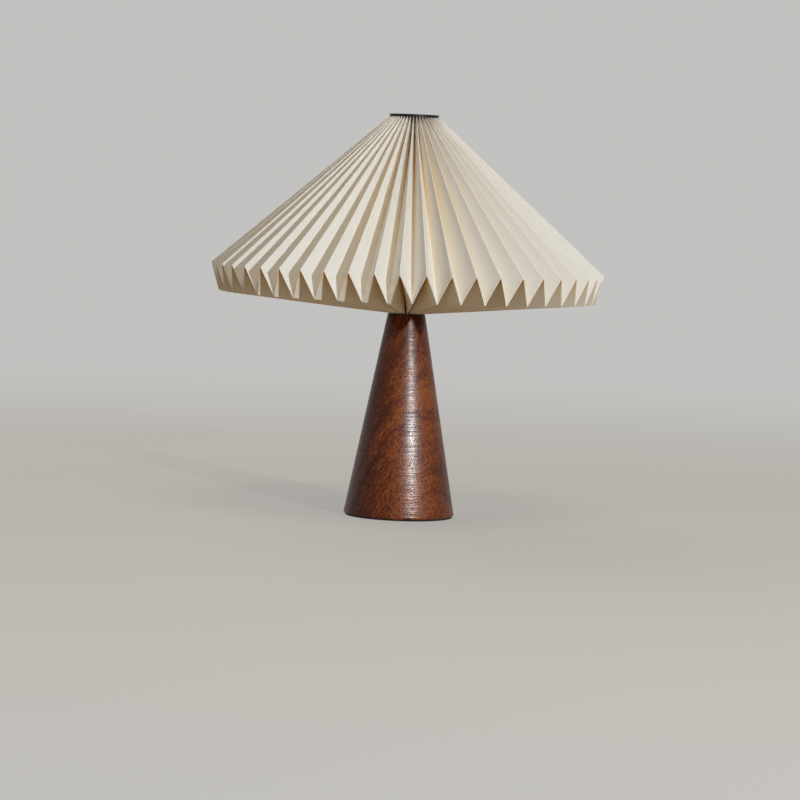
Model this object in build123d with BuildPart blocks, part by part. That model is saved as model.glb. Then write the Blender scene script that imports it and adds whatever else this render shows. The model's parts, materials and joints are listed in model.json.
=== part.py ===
from build123d import *

import math
import os

# Pleated table lamp: a turned wood cone, a small lamp holder with its bulb, and a folded paper shade.
# The origin is on the surface that the lamp stands on, under the middle of the base, with +Z up.
# The cord inlet is at the back, on the +Y side. All sizes are in millimetres.

os.makedirs("parts", exist_ok=True)

# Turned wood base
WOOD_BOTTOM_RADIUS = 55.4
WOOD_TOP_RADIUS = 18.8
WOOD_HEIGHT = 200.0
WOOD_BOTTOM_ROUND = 1.4
WOOD_TOP_ROUND = 0.5
RECESS_RADIUS = 40.0
RECESS_DEPTH = 26.0
PAD_THICKNESS = 1.5
PAD_INSET = 1.8

# What clamps the base together
TUBE_RADIUS = 5.0
TUBE_BORE_RADIUS = 3.8
TUBE_END_LENGTH = 1.5
BORE_CLEARANCE = 0.3
THREAD_CLEARANCE = 0.1
WEIGHT_THICKNESS = 8.0
WEIGHT_CLEARANCE = 0.5
WASHER_RADIUS = 10.0
WASHER_THICKNESS = 1.2
NUT_ACROSS_FLATS = 15.0
NUT_HEIGHT = 4.0
SEAT_WASHER_RADIUS = 12.5
SEAT_WASHER_THICKNESS = 1.5

# Bush where the supply cord goes in
INLET_HEIGHT = 10.0
INLET_BORE_RADIUS = 3.7
BUSH_RADIUS = 4.8
BUSH_CLEARANCE = 0.15
BUSH_FLANGE_RADIUS = 6.4
BUSH_FLANGE_THICKNESS = 2.0
BUSH_SETBACK = 0.6
BUSH_EDGE_ROUND = 0.6

# Lamp holder for a small screw-cap bulb
HOLDER_RADIUS = 14.25
HOLDER_EDGE = 1.5
CAP_FLOOR = 3.0
CAP_CAVITY_DEPTH = 6.0
CAP_CAVITY_RADIUS = 10.5
CAP_RIM_DEPTH = 11.0
CAP_WALL = 1.4
INSERT_THICKNESS = 7.0
INSERT_CLEARANCE = 0.2
TERMINAL_OFFSET = 7.2
TERMINAL_SHANK_RADIUS = 1.5
TERMINAL_HEAD_RADIUS = 2.6
TERMINAL_HEAD_HEIGHT = 2.0
TERMINAL_SHANK_LENGTH = 5.0
SKIRT_HEIGHT = 25.0
SKIRT_LIP = 2.0
SLEEVE_BORE_RADIUS = 7.25
SLEEVE_WALL = 0.4
SLEEVE_FLANGE_THICKNESS = 0.8
SLEEVE_CLEARANCE = 0.3
CONTACT_WIDTH = 3.0
CONTACT_LENGTH = 7.0
CONTACT_THICKNESS = 0.6
CONTACT_RISE = 2.4

# Tubular screw-cap bulb
BULB_RADIUS = 14.0
BULB_LENGTH = 62.0
BULB_WALL = 1.2
BULB_TIP_RADIUS = 2.2
BULB_TIP_HEIGHT = 1.4
BULB_INSULATOR_HEIGHT = 3.0
BULB_THREAD_CREST = 6.95
BULB_THREAD_ROOT = 6.3
BULB_THREAD_PITCH = 2.82
BULB_THREAD_TURNS = 5
BULB_CAP_COLLAR = 6.5
BULB_CAP_WALL = 0.5
BULB_HOUSING_HEIGHT = 17.0
BULB_HOUSING_STEP = 2.0
LED_BOARD_THICKNESS = 1.6
LED_BOARD_CLEARANCE = 0.3
LED_COUNT = 6
LED_SIZE = 3.0
LED_HEIGHT = 0.8
LED_CIRCLE_RADIUS = 7.5

# Collar that carries the shade
COLLAR_BORE_RADIUS = 15.4
COLLAR_WALL = 1.2
COLLAR_FLANGE_RADIUS = 18.2
COLLAR_FLANGE_THICKNESS = 1.0
COLLAR_RING_THICKNESS = 2.0
COLLAR_RING_RADIUS = 19.5
COLLAR_RING_SEAT = 0.2
SEAT_GAP = 0.3

# Folded shade: gores of pleated sheet above and below, which meet at the zigzag fold of the rim
SHADE_GORES = 10
GORE_PLEATS = 5
SHEET = 0.35
FOLD_WEB = 1.0
SHADE_TOP_RADIUS = 24.5
SHADE_TOP_HEIGHT = 196.2
RIM_RADIUS = 196.4
RIM_HEIGHT = 44.2
RIM_DROP = 26.5
RIM_STEP_IN = 8.0
TOP_FOLD_DEPTH = 20.0
NECK_FOLD_DEPTH = 16.0
GATHER_CORD_RADIUS = 0.6
GATHER_CORD_DROP = 11.5

# Black ring that closes the top of the shade
TOP_RING_THICKNESS = 2.4
TOP_RING_WIDTH = 7.6
TOP_RING_SPIGOT_RADIUS = 18.0

# Levels up the axis
wood_bottom = PAD_THICKNESS
wood_top = wood_bottom + WOOD_HEIGHT
recess_ceiling = wood_bottom + RECESS_DEPTH
weight_bottom = recess_ceiling - WEIGHT_THICKNESS
washer_bottom = weight_bottom - WASHER_THICKNESS
base_nut_bottom = washer_bottom - NUT_HEIGHT
tube_bottom = base_nut_bottom - TUBE_END_LENGTH
top_nut_bottom = wood_top + SEAT_WASHER_THICKNESS
holder_bottom = top_nut_bottom + NUT_HEIGHT
cap_floor_top = holder_bottom + CAP_FLOOR
tube_top = cap_floor_top + TUBE_END_LENGTH
cap_ledge = cap_floor_top + CAP_CAVITY_DEPTH
insert_top = cap_ledge + INSERT_THICKNESS
cap_rim = cap_ledge + CAP_RIM_DEPTH
skirt_top = cap_rim + SKIRT_HEIGHT
lip_bottom = skirt_top - SKIRT_LIP

# Radii that several pieces share
wood_bore = TUBE_RADIUS + BORE_CLEARANCE
thread_bore = TUBE_RADIUS + THREAD_CLEARANCE
cap_bore = HOLDER_RADIUS - CAP_WALL
sleeve_outer = SLEEVE_BORE_RADIUS + SLEEVE_WALL
collar_outer = COLLAR_BORE_RADIUS + COLLAR_WALL
neck_radius = collar_outer + SEAT_GAP


def wood_radius(height):
    """Radius of the cone's surface at a height above the floor."""
    taper = (WOOD_BOTTOM_RADIUS - WOOD_TOP_RADIUS) / WOOD_HEIGHT
    return WOOD_BOTTOM_RADIUS - taper * (height - wood_bottom)


# The inlet faces backwards, and its plane is the flange's seat in the wood
bush_seat = wood_radius(INLET_HEIGHT) - BUSH_FLANGE_THICKNESS - BUSH_SETBACK
bush_plane = Plane(origin=(0, bush_seat, INLET_HEIGHT), x_dir=(1, 0, 0), z_dir=(0, 1, 0))
bush_length = bush_seat - RECESS_RADIUS

# Wood base: a cone, bored for the tube, hollowed below for the weight
with BuildPart() as wood_base:
    with BuildSketch(Plane.XZ):
        with BuildLine():
            Polyline(
                (wood_bore, recess_ceiling),
                (RECESS_RADIUS, recess_ceiling),
                (RECESS_RADIUS, wood_bottom),
                (WOOD_BOTTOM_RADIUS, wood_bottom),
                (WOOD_TOP_RADIUS, wood_top),
                (wood_bore, wood_top),
                close=True,
            )
        make_face()
    revolve(axis=Axis.Z)
    rims = wood_base.edges().filter_by(GeomType.CIRCLE)
    fillet(rims.group_by(Axis.Z)[0].sort_by(SortBy.RADIUS)[-1], WOOD_BOTTOM_ROUND)
    rims = wood_base.edges().filter_by(GeomType.CIRCLE)
    fillet(rims.group_by(Axis.Z)[-1].sort_by(SortBy.RADIUS)[-1], WOOD_TOP_ROUND)
    with BuildSketch(bush_plane):
        Circle(BUSH_FLANGE_RADIUS + BUSH_CLEARANCE)
    extrude(amount=WOOD_BOTTOM_RADIUS, mode=Mode.SUBTRACT)
    with BuildSketch(bush_plane):
        Circle(BUSH_RADIUS + BUSH_CLEARANCE)
    extrude(amount=-bush_seat, mode=Mode.SUBTRACT)
wood_base.part.label = "wood_base"

# Soft pad under the base, which closes the recess
with BuildPart() as base_pad:
    with BuildSketch():
        Circle(WOOD_BOTTOM_RADIUS - PAD_INSET)
    extrude(amount=PAD_THICKNESS)
base_pad.part.label = "base_pad"

# Steel weight against the recess's ceiling
with BuildPart() as base_weight:
    with BuildSketch(Plane.XY.offset(weight_bottom)):
        Circle(RECESS_RADIUS - WEIGHT_CLEARANCE)
        Circle(wood_bore, mode=Mode.SUBTRACT)
    extrude(amount=WEIGHT_THICKNESS)
base_weight.part.label = "base_weight"

# Hollow threaded tube that clamps the base together and carries the wires
with BuildPart() as threaded_tube:
    with BuildSketch(Plane.XY.offset(tube_bottom)):
        Circle(TUBE_RADIUS)
        Circle(TUBE_BORE_RADIUS, mode=Mode.SUBTRACT)
    extrude(amount=tube_top - tube_bottom)
threaded_tube.part.label = "threaded_tube"

# Washer and nut under the weight
with BuildPart() as base_washer:
    with BuildSketch(Plane.XY.offset(washer_bottom)):
        Circle(WASHER_RADIUS)
        Circle(wood_bore, mode=Mode.SUBTRACT)
    extrude(amount=WASHER_THICKNESS)
base_washer.part.label = "base_washer"

with BuildPart() as base_nut:
    with BuildSketch(Plane.XY.offset(base_nut_bottom)):
        RegularPolygon(NUT_ACROSS_FLATS / 2, 6, major_radius=False)
        Circle(thread_bore, mode=Mode.SUBTRACT)
    extrude(amount=NUT_HEIGHT)
base_nut.part.label = "base_nut"

# Washer and nut on top of the wood, under the lamp holder
with BuildPart() as seat_washer:
    with BuildSketch(Plane.XY.offset(wood_top)):
        Circle(SEAT_WASHER_RADIUS)
        Circle(wood_bore, mode=Mode.SUBTRACT)
    extrude(amount=SEAT_WASHER_THICKNESS)
seat_washer.part.label = "seat_washer"

with BuildPart() as top_nut:
    with BuildSketch(Plane.XY.offset(top_nut_bottom)):
        RegularPolygon(NUT_ACROSS_FLATS / 2, 6, major_radius=False)
        Circle(thread_bore, mode=Mode.SUBTRACT)
    extrude(amount=NUT_HEIGHT)
top_nut.part.label = "top_nut"

# Flanged bush in the back of the base
with BuildPart() as cord_bush:
    with BuildSketch(bush_plane):
        Circle(BUSH_FLANGE_RADIUS)
    extrude(amount=BUSH_FLANGE_THICKNESS)
    with BuildSketch(bush_plane):
        Circle(BUSH_RADIUS)
    extrude(amount=-bush_length)
    flange_rim = cord_bush.edges().filter_by(GeomType.CIRCLE).sort_by(Axis.Y)[-1]
    fillet(flange_rim, BUSH_EDGE_ROUND)
    with BuildSketch(bush_plane.offset(BUSH_FLANGE_THICKNESS)):
        Circle(INLET_BORE_RADIUS)
    extrude(amount=-(BUSH_FLANGE_THICKNESS + bush_length), mode=Mode.SUBTRACT)
cord_bush.part.label = "cord_bush"

# Lower cup of the lamp holder, threaded on the tube
with BuildPart() as holder_cap:
    with BuildSketch(Plane.XZ):
        with BuildLine():
            Polyline(
                (thread_bore, holder_bottom),
                (HOLDER_RADIUS - HOLDER_EDGE, holder_bottom),
                (HOLDER_RADIUS, holder_bottom + HOLDER_EDGE),
                (HOLDER_RADIUS, cap_rim),
                (cap_bore, cap_rim),
                (cap_bore, cap_ledge),
                (CAP_CAVITY_RADIUS, cap_ledge),
                (CAP_CAVITY_RADIUS, cap_floor_top),
                (thread_bore, cap_floor_top),
                close=True,
            )
        make_face()
    revolve(axis=Axis.Z)
holder_cap.part.label = "holder_cap"

# Contact block, which sits on the cup's ledge
with BuildPart() as holder_insert:
    with BuildSketch(Plane.XY.offset(cap_ledge)):
        Circle(cap_bore - INSERT_CLEARANCE)
        with Locations((-TERMINAL_OFFSET, 0), (TERMINAL_OFFSET, 0)):
            Circle(TERMINAL_SHANK_RADIUS + THREAD_CLEARANCE, mode=Mode.SUBTRACT)
    extrude(amount=INSERT_THICKNESS)
holder_insert.part.label = "holder_insert"

# Two terminal screws, with their heads below the block
with BuildPart() as terminal_screws:
    with BuildSketch(Plane.XY.offset(cap_ledge)):
        with Locations((-TERMINAL_OFFSET, 0), (TERMINAL_OFFSET, 0)):
            Circle(TERMINAL_HEAD_RADIUS)
    extrude(amount=-TERMINAL_HEAD_HEIGHT)
    with BuildSketch(Plane.XY.offset(cap_ledge)):
        with Locations((-TERMINAL_OFFSET, 0), (TERMINAL_OFFSET, 0)):
            Circle(TERMINAL_SHANK_RADIUS)
    extrude(amount=TERMINAL_SHANK_LENGTH)
terminal_screws.part.label = "terminal_screws"

# Sprung centre contact: a strip with its free end raised
with BuildPart() as centre_contact:
    with BuildSketch(Plane.YZ):
        with BuildLine():
            Polyline(
                (-CONTACT_LENGTH / 2, insert_top),
                (0, insert_top),
                (CONTACT_LENGTH / 2, insert_top + CONTACT_RISE - CONTACT_THICKNESS),
                (CONTACT_LENGTH / 2, insert_top + CONTACT_RISE),
                (-CONTACT_THICKNESS / 2, insert_top + CONTACT_THICKNESS),
                (-CONTACT_LENGTH / 2, insert_top + CONTACT_THICKNESS),
                close=True,
            )
        make_face()
    extrude(amount=CONTACT_WIDTH / 2, both=True)
centre_contact.part.label = "centre_contact"

# Sleeve that takes the bulb's cap, held down by the skirt's lip
with BuildPart() as screw_sleeve:
    with BuildSketch(Plane.XY.offset(insert_top)):
        Circle(sleeve_outer)
        Circle(SLEEVE_BORE_RADIUS, mode=Mode.SUBTRACT)
    extrude(amount=lip_bottom - insert_top)
    with BuildSketch(Plane.XY.offset(insert_top)):
        Circle(sleeve_outer + SLEEVE_FLANGE_THICKNESS)
        Circle(SLEEVE_BORE_RADIUS, mode=Mode.SUBTRACT)
    extrude(amount=SLEEVE_FLANGE_THICKNESS)
screw_sleeve.part.label = "screw_sleeve"

# Upper shell of the lamp holder: a spigot in the cup, a skirt above it and a lip at the mouth
skirt_bore = sleeve_outer + SLEEVE_FLANGE_THICKNESS + SLEEVE_CLEARANCE
spigot_radius = cap_bore - THREAD_CLEARANCE
with BuildPart() as holder_skirt:
    with BuildSketch(Plane.XZ):
        with BuildLine():
            Polyline(
                (skirt_bore, insert_top),
                (spigot_radius, insert_top),
                (spigot_radius, cap_rim),
                (HOLDER_RADIUS, cap_rim),
                (HOLDER_RADIUS, skirt_top),
                (SLEEVE_BORE_RADIUS, skirt_top),
                (SLEEVE_BORE_RADIUS, lip_bottom),
                (skirt_bore, lip_bottom),
                close=True,
            )
        make_face()
    revolve(axis=Axis.Z)
    mouth = holder_skirt.edges().filter_by(GeomType.CIRCLE).group_by(Axis.Z)[-1]
    fillet(mouth.sort_by(SortBy.RADIUS)[-1], HOLDER_EDGE)
holder_skirt.part.label = "holder_skirt"

# Bulb, from its tip upwards
tip_bottom = insert_top + CONTACT_RISE + SEAT_GAP
insulator_bottom = tip_bottom + BULB_TIP_HEIGHT
thread_bottom = insulator_bottom + BULB_INSULATOR_HEIGHT
thread_top = thread_bottom + BULB_THREAD_PITCH * BULB_THREAD_TURNS
bulb_cap_top = thread_top + BULB_CAP_COLLAR
housing_top = bulb_cap_top + BULB_HOUSING_HEIGHT
board_top = housing_top + LED_BOARD_THICKNESS
bulb_top = housing_top + BULB_LENGTH
globe_bore = BULB_RADIUS - BULB_WALL
cap_root_bore = BULB_THREAD_ROOT - BULB_CAP_WALL

with BuildPart() as bulb_contact:
    with BuildSketch(Plane.XY.offset(tip_bottom)):
        Circle(BULB_TIP_RADIUS)
    extrude(amount=BULB_TIP_HEIGHT)
    fillet(bulb_contact.edges().group_by(Axis.Z)[0], BULB_TIP_HEIGHT / 2)
bulb_contact.part.label = "bulb_contact"

with BuildPart() as bulb_insulator:
    with BuildSketch(Plane.XZ):
        with BuildLine():
            Polyline(
                (0, insulator_bottom),
                (BULB_TIP_RADIUS, insulator_bottom),
                (BULB_THREAD_ROOT, thread_bottom),
                (0, thread_bottom),
                close=True,
            )
        make_face()
    revolve(axis=Axis.Z)
bulb_insulator.part.label = "bulb_insulator"

# Screw cap: a thin shell with one rounded ridge for each turn of its thread
with BuildPart() as bulb_cap:
    with BuildSketch(Plane.XZ):
        with BuildLine():
            for turn in range(BULB_THREAD_TURNS):
                low = thread_bottom + turn * BULB_THREAD_PITCH
                ThreePointArc(
                    (BULB_THREAD_ROOT, low),
                    (BULB_THREAD_CREST, low + BULB_THREAD_PITCH / 2),
                    (BULB_THREAD_ROOT, low + BULB_THREAD_PITCH),
                )
            Polyline(
                (BULB_THREAD_ROOT, thread_top),
                (BULB_THREAD_ROOT, bulb_cap_top),
                (cap_root_bore, bulb_cap_top),
                (cap_root_bore, thread_bottom),
                (BULB_THREAD_ROOT, thread_bottom),
            )
        make_face()
    revolve(axis=Axis.Z)
bulb_cap.part.label = "bulb_cap"

# Plastic housing that flares from the cap to the globe
with BuildPart() as bulb_housing:
    with BuildSketch(Plane.XZ):
        with BuildLine():
            Polyline(
                (0, bulb_cap_top),
                (BULB_THREAD_CREST, bulb_cap_top),
                (BULB_THREAD_CREST, bulb_cap_top + BULB_HOUSING_STEP),
            )
            flare_low = bulb_cap_top + BULB_HOUSING_STEP
            flare_high = housing_top - BULB_HOUSING_STEP
            Spline(
                (BULB_THREAD_CREST, flare_low),
                (BULB_RADIUS, flare_high),
                tangents=((0, 1), (0, 1)),
            )
            Polyline(
                (BULB_RADIUS, flare_high),
                (BULB_RADIUS, housing_top),
                (0, housing_top),
                (0, bulb_cap_top),
            )
        make_face()
    revolve(axis=Axis.Z)
bulb_housing.part.label = "bulb_housing"

# Light board and its chips, inside the globe
with BuildPart() as led_board:
    with BuildSketch(Plane.XY.offset(housing_top)):
        Circle(globe_bore - LED_BOARD_CLEARANCE)
    extrude(amount=LED_BOARD_THICKNESS)
led_board.part.label = "led_board"

with BuildPart() as led_chips:
    with BuildSketch(Plane.XY.offset(board_top)):
        with PolarLocations(LED_CIRCLE_RADIUS, LED_COUNT):
            Rectangle(LED_SIZE, LED_SIZE)
    extrude(amount=LED_HEIGHT)
led_chips.part.label = "led_chips"

# Opal globe: a tube with a domed end, open where it sits on the housing
with BuildPart() as bulb_globe:
    with BuildSketch(Plane.XZ):
        with BuildLine():
            dome_bottom = bulb_top - BULB_RADIUS
            Polyline(
                (globe_bore, dome_bottom),
                (globe_bore, housing_top),
                (BULB_RADIUS, housing_top),
                (BULB_RADIUS, dome_bottom),
            )
            RadiusArc((BULB_RADIUS, dome_bottom), (0, bulb_top), -BULB_RADIUS)
            Line((0, bulb_top), (0, bulb_top - BULB_WALL))
            RadiusArc((0, bulb_top - BULB_WALL), (globe_bore, dome_bottom), globe_bore)
        make_face()
    revolve(axis=Axis.Z)
bulb_globe.part.label = "bulb_globe"

# Fold lines of the shade, as (radius, height). Outer folds run along the ridges, inner folds along the
# valleys between them. Past the rim the sheet turns under, and the inner folds become its lower edges.
fold_angle = math.pi / (SHADE_GORES * GORE_PLEATS)
neck_bottom = wood_top + COLLAR_FLANGE_THICKNESS + SEAT_GAP
shade_top = wood_top + SHADE_TOP_HEIGHT
rim_height = wood_top + RIM_HEIGHT
slope = math.atan2(shade_top - rim_height, RIM_RADIUS - SHADE_TOP_RADIUS)
outer_top = Vector(SHADE_TOP_RADIUS, shade_top)
outer_rim = Vector(RIM_RADIUS, rim_height)
inner_top = outer_top - Vector(math.sin(slope), math.cos(slope)) * TOP_FOLD_DEPTH
inner_rim = outer_rim - Vector(RIM_STEP_IN, RIM_DROP)
inner_neck = Vector(neck_radius, neck_bottom)
outer_neck = inner_neck + Vector(0, NECK_FOLD_DEPTH)
neck_rise = (outer_rim.Y - outer_neck.Y) / (outer_rim.X - outer_neck.X)

# Collar in the shade's neck: it drops over the lamp holder and rests on the wood
collar_ring_bottom = outer_neck.Y + neck_rise * (COLLAR_RING_RADIUS - neck_radius) + SEAT_GAP
collar_top = collar_ring_bottom + COLLAR_RING_THICKNESS
with BuildPart() as neck_collar:
    with BuildSketch(Plane.XY.offset(wood_top)):
        Circle(COLLAR_FLANGE_RADIUS)
        Circle(COLLAR_BORE_RADIUS, mode=Mode.SUBTRACT)
    extrude(amount=COLLAR_FLANGE_THICKNESS)
    with BuildSketch(Plane.XY.offset(wood_top)):
        Circle(collar_outer)
        Circle(COLLAR_BORE_RADIUS, mode=Mode.SUBTRACT)
    extrude(amount=collar_top - wood_top)
neck_collar.part.label = "neck_collar"

# Ring on the collar's upper end, which keeps the folds on it
with BuildPart() as collar_ring:
    with BuildSketch(Plane.XY.offset(collar_ring_bottom)):
        Circle(COLLAR_RING_RADIUS)
        Circle(collar_outer + COLLAR_RING_SEAT, mode=Mode.SUBTRACT)
    extrude(amount=COLLAR_RING_THICKNESS)
collar_ring.part.label = "collar_ring"

def in_space(point, angle, sideways=0.0):
    """A (radius, height) point in the upright plane at an angle, moved sideways out of that plane."""
    return Vector(
        point.X * math.cos(angle) - sideways * math.sin(angle),
        point.X * math.sin(angle) + sideways * math.cos(angle),
        point.Y,
    )


def tip_half(fold, other):
    """Half the flat tip of a closed fold, where the sheet keeps its thickness around the web."""
    spread = other.X * math.sin(fold_angle)
    lean = math.atan2(spread, (other - fold).length)
    return SHEET / math.cos(lean) - FOLD_WEB * math.tan(lean)


def behind_tip(fold, other):
    """Inside corner of a closed fold, towards the fold beside it."""
    return fold + (other - fold).normalized() * FOLD_WEB


def rim_inside(fold, above, below, other):
    """Inner corner under a rim corner: one sheet thickness behind the panels above and below it."""
    here = in_space(fold, 0)
    across = in_space(other, fold_angle) - here
    upper = (here - in_space(above, 0)).cross(across).normalized()
    lower = (in_space(below, 0) - here).cross(across).normalized()
    scale = -SHEET / (upper.X * lower.Z - lower.X * upper.Z)
    return fold + Vector(lower.Z - upper.Z, upper.X - lower.X) * scale


def panel_face(first, second, third, fourth):
    """Ruled face between the edge from first to second and the edge from fourth to third."""
    return Face.make_surface_from_curves(
        Edge.make_line(first, second),
        Edge.make_line(fourth, third),
    )


def flat_face(*corners):
    """Flat face between points in one plane."""
    return Face(Wire.make_polygon(corners, close=True))


def sheet_gore(ridge, furrow, near_rim, far_rim):
    """Solid of one gore of folded sheet, from its closed end to the rim.

    The ridges' tips face the near side of the sheet and the furrows' tips its far side. near_rim and
    far_rim are the rim's corners on those two sides, each for the ridge and then for the furrow.
    """
    ridge_half = tip_half(ridge, furrow)
    furrow_half = tip_half(furrow, ridge)
    ridge_web = behind_tip(ridge, furrow)
    furrow_web = behind_tip(furrow, ridge)
    faces = []
    for pleat in range(GORE_PLEATS):
        angle = 2 * fold_angle * pleat
        web = in_space(ridge_web, angle)
        near_ridge = in_space(near_rim[0], angle)
        far_ridge = in_space(far_rim[0], angle)
        tips = {side: in_space(ridge, angle, side * ridge_half) for side in (-1, 1)}
        faces.append(flat_face(tips[-1], tips[1], near_ridge))
        faces.append(flat_face(tips[-1], tips[1], web))
        for side, tip in tips.items():
            beside = angle + side * fold_angle
            furrow_tip = in_space(furrow, beside, -side * furrow_half)
            furrow_middle = in_space(furrow, beside)
            furrow_back = in_space(furrow_web, beside)
            near_furrow = in_space(near_rim[1], beside)
            far_furrow = in_space(far_rim[1], beside)
            faces += [
                panel_face(tip, furrow_back, near_furrow, near_ridge),
                panel_face(web, furrow_tip, far_furrow, far_ridge),
                panel_face(tip, furrow_back, furrow_tip, web),
                panel_face(near_ridge, near_furrow, far_furrow, far_ridge),
                flat_face(furrow_middle, furrow_tip, far_furrow),
                flat_face(furrow_middle, furrow_tip, furrow_back),
            ]
    seam_corners = (furrow, furrow_web, near_rim[1], far_rim[1])
    for seam in (-fold_angle, (2 * GORE_PLEATS - 1) * fold_angle):
        faces.append(flat_face(*(in_space(corner, seam) for corner in seam_corners)))
    return Solid(Shell(faces))


def all_round(gore, name):
    """Copies of a gore all round the axis, seam to seam, as separate solids of one piece."""
    turn = 360 / SHADE_GORES
    return Compound([gore.rotate(Axis.Z, turn * place) for place in range(SHADE_GORES)], label=name)


# Rim corners on the sheet's outside and inside, for the outer and then for the inner fold
rim_outside = (outer_rim, inner_rim)
rim_back = (
    rim_inside(outer_rim, outer_top, outer_neck, inner_rim),
    rim_inside(inner_rim, inner_top, inner_neck, outer_rim),
)

# Upper and under side of the shade
with BuildPart() as upper_gore:
    add(sheet_gore(outer_top, inner_top, rim_outside, rim_back))
shade_upper = all_round(upper_gore.part, "shade_upper")

with BuildPart() as under_gore:
    add(sheet_gore(outer_neck, inner_neck, rim_back, rim_outside))
shade_under = all_round(under_gore.part, "shade_under")

# Thread that gathers the folds just below the top, through the middle of every panel
fold_run = Vector(math.cos(slope), -math.sin(slope))
gather = (outer_top + inner_top) / 2 + fold_run * GATHER_CORD_DROP
with BuildPart() as gather_cord:
    with BuildSketch(Plane.XZ):
        with Locations((gather.X, gather.Y)):
            Circle(GATHER_CORD_RADIUS)
    revolve(axis=Axis.Z)
gather_cord.part.label = "gather_cord"

# Black ring on the shade's top, with a spigot that stands on the slanting edges of the folds
ring_bottom = shade_top + SEAT_GAP
ring_top = ring_bottom + TOP_RING_THICKNESS
ring_bore = SHADE_TOP_RADIUS - TOP_RING_WIDTH
edge_fall = (outer_top.Y - inner_top.Y) / (outer_top.X - inner_top.X)
spigot_bottom = shade_top - edge_fall * (SHADE_TOP_RADIUS - TOP_RING_SPIGOT_RADIUS) + SEAT_GAP
with BuildPart() as top_ring:
    with BuildSketch(Plane.XZ):
        with BuildLine():
            Polyline(
                (TOP_RING_SPIGOT_RADIUS, ring_bottom),
                (SHADE_TOP_RADIUS, ring_bottom),
                (SHADE_TOP_RADIUS, ring_top),
                (ring_bore, ring_top),
                (ring_bore, spigot_bottom),
                (TOP_RING_SPIGOT_RADIUS, spigot_bottom),
                close=True,
            )
        make_face()
    revolve(axis=Axis.Z)
top_ring.part.label = "top_ring"

for piece in [
    wood_base,
    base_pad,
    base_weight,
    threaded_tube,
    base_washer,
    base_nut,
    seat_washer,
    top_nut,
    cord_bush,
    holder_cap,
    holder_insert,
    terminal_screws,
    centre_contact,
    screw_sleeve,
    holder_skirt,
    bulb_contact,
    bulb_insulator,
    bulb_cap,
    bulb_housing,
    led_board,
    led_chips,
    bulb_globe,
    neck_collar,
    collar_ring,
    gather_cord,
    top_ring,
]:
    export_step(piece.part, f"parts/{piece.part.label}.step")
for sheet in [shade_upper, shade_under]:
    export_step(sheet, f"parts/{sheet.label}.step")
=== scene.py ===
import json
import math

import bpy
import numpy as np
from mathutils import Matrix, Vector


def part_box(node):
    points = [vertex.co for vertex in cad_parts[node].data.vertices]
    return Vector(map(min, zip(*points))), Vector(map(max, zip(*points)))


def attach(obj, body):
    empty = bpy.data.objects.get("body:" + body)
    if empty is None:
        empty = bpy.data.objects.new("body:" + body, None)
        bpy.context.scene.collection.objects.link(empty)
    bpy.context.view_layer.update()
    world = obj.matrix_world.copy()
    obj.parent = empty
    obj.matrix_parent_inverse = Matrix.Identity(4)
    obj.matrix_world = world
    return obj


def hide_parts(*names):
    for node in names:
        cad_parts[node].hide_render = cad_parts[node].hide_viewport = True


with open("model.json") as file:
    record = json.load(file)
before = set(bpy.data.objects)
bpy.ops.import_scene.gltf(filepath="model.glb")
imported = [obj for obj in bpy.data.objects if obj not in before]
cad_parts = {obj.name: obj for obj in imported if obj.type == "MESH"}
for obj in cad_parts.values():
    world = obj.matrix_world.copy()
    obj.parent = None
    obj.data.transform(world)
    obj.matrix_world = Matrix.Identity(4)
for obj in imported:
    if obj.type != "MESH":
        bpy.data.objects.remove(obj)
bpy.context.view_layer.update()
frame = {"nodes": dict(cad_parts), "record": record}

# Looks of the pleated table lamp, in metres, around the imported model.

scene = bpy.context.scene
scene.view_settings.view_transform = "Standard"

# Camera, at the photo's viewing angle. The picture is square
PICTURE_PIXELS = 800
FOCAL_PIXELS = 3108.6
SENSOR_WIDTH = 36.0
CAMERA_DISTANCE = 3.1
CAMERA_HEIGHT = 0.3349
CAMERA_SIDE = -0.00302
CAMERA_AZIMUTH = math.radians(-1.679)
CAMERA_PITCH = math.radians(4.042)
CAMERA_ROLL = math.radians(2.288)
CAMERA_FAR_CLIP = 100.0

# Light: a small key lamp at the right front, broad lamps in front and behind, and a room that is dimmer below
LIGHT_TARGET = Vector((0.0, 0.0, 0.24))
KEY_AZIMUTH = math.radians(27.0)
KEY_ELEVATION = math.radians(12.4)
KEY_DISTANCE = 2.8
KEY_SIZE = 0.045
KEY_POWER = 36.5
KEY_COLOUR = (0.92, 0.97, 1.0)
FILL_AZIMUTH = math.radians(8.0)
FILL_ELEVATION = math.radians(60.0)
FILL_DISTANCE = 2.2
FILL_SIZE = 1.0
FILL_POWER = 13.8
FILL_COLOUR = (1.0, 0.90, 0.73)
BACK_AZIMUTH = math.radians(-155.0)
BACK_ELEVATION = math.radians(38.0)
BACK_DISTANCE = 3.0
BACK_SIZE = 2.0
BACK_POWER = 22.0
BACK_COLOUR = (1.0, 0.99, 0.97)
ROOM_LIGHT = (0.18, 0.14, 0.10)
ROOM_LIGHT_LOW = (0.02, 0.016, 0.012)
ROOM_LEVELS = (0.05, 0.6)
BACKDROP_COLOUR = (0.54, 0.537, 0.525)

# Floor. It shows some of its own colour near the lamp, and only the backdrop's further out
FLOOR_SIZE = 12.0
FLOOR_COLOUR = (0.66, 0.60, 0.51)
FLOOR_DARK_SHARE = 0.96
FLOOR_BOUNCE = (0.47, 0.39, 0.295)
FLOOR_ROUGHNESS = 0.85
FLOOR_IOR = 1.4
FLOOR_GRAIN = (260.0, 3.0)
FLOOR_BUMP = (0.0002, 0.2)
FLOOR_FADE_RADII = (0.2, 2.4)
FLOOR_LEAST_SHARE = 0.58

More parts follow.
